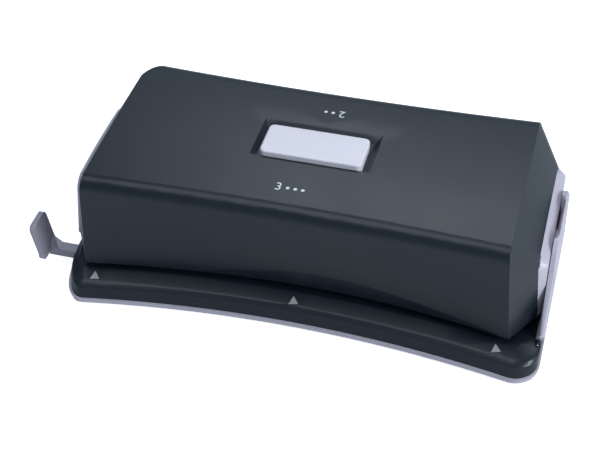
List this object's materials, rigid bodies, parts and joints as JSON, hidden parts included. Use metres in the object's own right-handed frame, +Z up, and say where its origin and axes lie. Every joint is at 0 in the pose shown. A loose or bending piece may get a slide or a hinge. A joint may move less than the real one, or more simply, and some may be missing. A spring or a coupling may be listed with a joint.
{
  "type": "electric hole punch",
  "caption": "Electric desktop paper punch with punching slots at the front and back, a push button on top, a sliding paper guide and a fold-down sheet support.",
  "frame": {"origin": "on the table plane, under the middle of the machine", "axes": "+X to the right along the machine, +Y to the back, +Z up"},
  "size_m": [0.2762, 0.1304, 0.0818],
  "materials": {
    "black_plastic": "satin with a very fine grain",
    "silver_plastic": "satin silver with a fine metallic fleck",
    "button_plastic": "satin light silver",
    "marker_plastic": "satin light grey",
    "sheet_steel": "zinc plated, drawn",
    "tool_steel": "ground and hardened",
    "screw_steel": "zinc plated",
    "spring_steel": "bright drawn wire",
    "bush_brass": "turned",
    "gear_plastic": "satin natural",
    "motor_steel": "drawn can",
    "board_green": "solder mask",
    "component_black": "moulded",
    "cell_jacket": "printed sleeve",
    "contact_metal": "nickel plated",
    "rubber": "matt"
  },
  "bodies": {
    "housing": {"base": "black_plastic", "cover": "black_plastic", "bottom_pan": "silver_plastic", "left_end_panel": "silver_plastic", "right_end_panel": "silver_plastic", "battery_lid": "silver_plastic", "hole_markers_front": "marker_plastic", "hole_markers_rear": "marker_plastic", "rubber_feet": "rubber", "front_frame": "sheet_steel", "rear_frame": "sheet_steel", "front_gear_plate": "sheet_steel", "rear_gear_plate": "sheet_steel", "front_die_plate": "tool_steel", "rear_die_plate": "tool_steel", "support_hinge_pin": "tool_steel", "shaft_bushes": "bush_brass", "motor": "motor_steel", "motor_screws": "screw_steel", "frame_screws": "screw_steel", "bar_shoulder_screws": "screw_steel", "bar_washers": "screw_steel", "housing_screws": "screw_steel", "pan_screws": "screw_steel", "board_screws": "screw_steel", "button_spring": "spring_steel", "control_board": "board_green", "board_components": "component_black", "button_switch": "component_black", "power_jack": "component_black", "battery_tray": "component_black", "battery_cells": "cell_jacket", "battery_contacts": "contact_metal"},
    "drive_train": {"drive_shaft": "tool_steel", "drive_gear": "gear_plastic", "front_bar_pinion": "tool_steel", "rear_bar_pinion": "tool_steel"},
    "idler": {"idler_shaft": "tool_steel", "idler_pinion": "tool_steel", "idler_wheel": "gear_plastic"},
    "motor_rotor": {"motor_shaft": "tool_steel", "motor_pinion": "bush_brass"},
    "front_bar": {"front_cam_bar": "sheet_steel"},
    "rear_bar": {"rear_cam_bar": "sheet_steel"},
    "button": {"top_button": "button_plastic"},
    "guide": {"paper_guide": "silver_plastic"},
    "drawer": {"chip_drawer": "component_black"},
    "support": {"sheet_support": "silver_plastic"},
    "front_punch_left": {"front_punch_pin_left": "tool_steel", "front_cross_pin_left": "tool_steel"},
    "front_punch_middle": {"front_punch_pin_middle": "tool_steel", "front_cross_pin_middle": "tool_steel"},
    "front_punch_right": {"front_punch_pin_right": "tool_steel", "front_cross_pin_right": "tool_steel"},
    "rear_punch_left": {"rear_punch_pin_left": "tool_steel", "rear_cross_pin_left": "tool_steel"},
    "rear_punch_right": {"rear_punch_pin_right": "tool_steel", "rear_cross_pin_right": "tool_steel"}
  },
  "joints": [
    {"name": "drive_shaft_turn", "type": "hinge", "parent": "housing", "child": "drive_train", "pos_m": [-0.058, 0, 0.055], "axis": [0, 1, 0], "range_deg": [0, 65.49]},
    {"name": "idler_turn", "type": "hinge", "parent": "housing", "child": "idler", "pos_m": [-0.084, 0, 0.055], "axis": [0, 1, 0], "range_deg": [-178, 0]},
    {"name": "motor_turn", "type": "hinge", "parent": "housing", "child": "motor_rotor", "pos_m": [-0.10094, 0, 0.038], "axis": [0, 1, 0], "range_deg": [0, 712]},
    {"name": "front_bar_slide", "type": "slide", "parent": "housing", "child": "front_bar", "axis": [-1, 0, 0], "range_m": [0, 0.008]},
    {"name": "rear_bar_slide", "type": "slide", "parent": "housing", "child": "rear_bar", "axis": [-1, 0, 0], "range_m": [0, 0.008]},
    {"name": "front_punch_left_stroke", "type": "slide", "parent": "housing", "child": "front_punch_left", "axis": [0, 0, -1], "range_m": [0, 0.008]},
    {"name": "front_punch_middle_stroke", "type": "slide", "parent": "housing", "child": "front_punch_middle", "axis": [0, 0, -1], "range_m": [0, 0.008]},
    {"name": "front_punch_right_stroke", "type": "slide", "parent": "housing", "child": "front_punch_right", "axis": [0, 0, -1], "range_m": [0, 0.008]},
    {"name": "rear_punch_left_stroke", "type": "slide", "parent": "housing", "child": "rear_punch_left", "axis": [0, 0, -1], "range_m": [0, 0.008]},
    {"name": "rear_punch_right_stroke", "type": "slide", "parent": "housing", "child": "rear_punch_right", "axis": [0, 0, -1], "range_m": [0, 0.008]},
    {"name": "button_press", "type": "slide", "parent": "housing", "child": "button", "axis": [0, 0, -1], "range_m": [0, 0.0025], "stiffness_N_per_m": 400, "springref_m": -0.002, "deforming": ["button_spring"]},
    {"name": "guide_slide", "type": "slide", "parent": "housing", "child": "guide", "axis": [-1, 0, 0], "range_m": [-0.008, 0.0088]},
    {"name": "drawer_slide", "type": "slide", "parent": "housing", "child": "drawer", "axis": [1, 0, 0], "range_m": [0, 0.25]},
    {"name": "support_fold", "type": "hinge", "parent": "housing", "child": "support", "pos_m": [0.1282, 0, 0.0136], "axis": [0, 1, 0], "range_deg": [0, 90]}
  ],
  "couplings": [
    {"joint": "drive_shaft_turn", "follows": "front_bar_slide", "rad_per_m": 142.86},
    {"joint": "idler_turn", "follows": "front_bar_slide", "rad_per_m": -387.76},
    {"joint": "motor_turn", "follows": "front_bar_slide", "rad_per_m": 1551},
    {"joint": "rear_bar_slide", "follows": "front_bar_slide", "ratio": 1},
    {"joint": "front_punch_left_stroke", "follows": "front_bar_slide", "ratio": 1},
    {"joint": "front_punch_middle_stroke", "follows": "front_bar_slide", "ratio": 1},
    {"joint": "front_punch_right_stroke", "follows": "front_bar_slide", "ratio": 1},
    {"joint": "rear_punch_left_stroke", "follows": "front_bar_slide", "ratio": 1},
    {"joint": "rear_punch_right_stroke", "follows": "front_bar_slide", "ratio": 1}
  ]
}
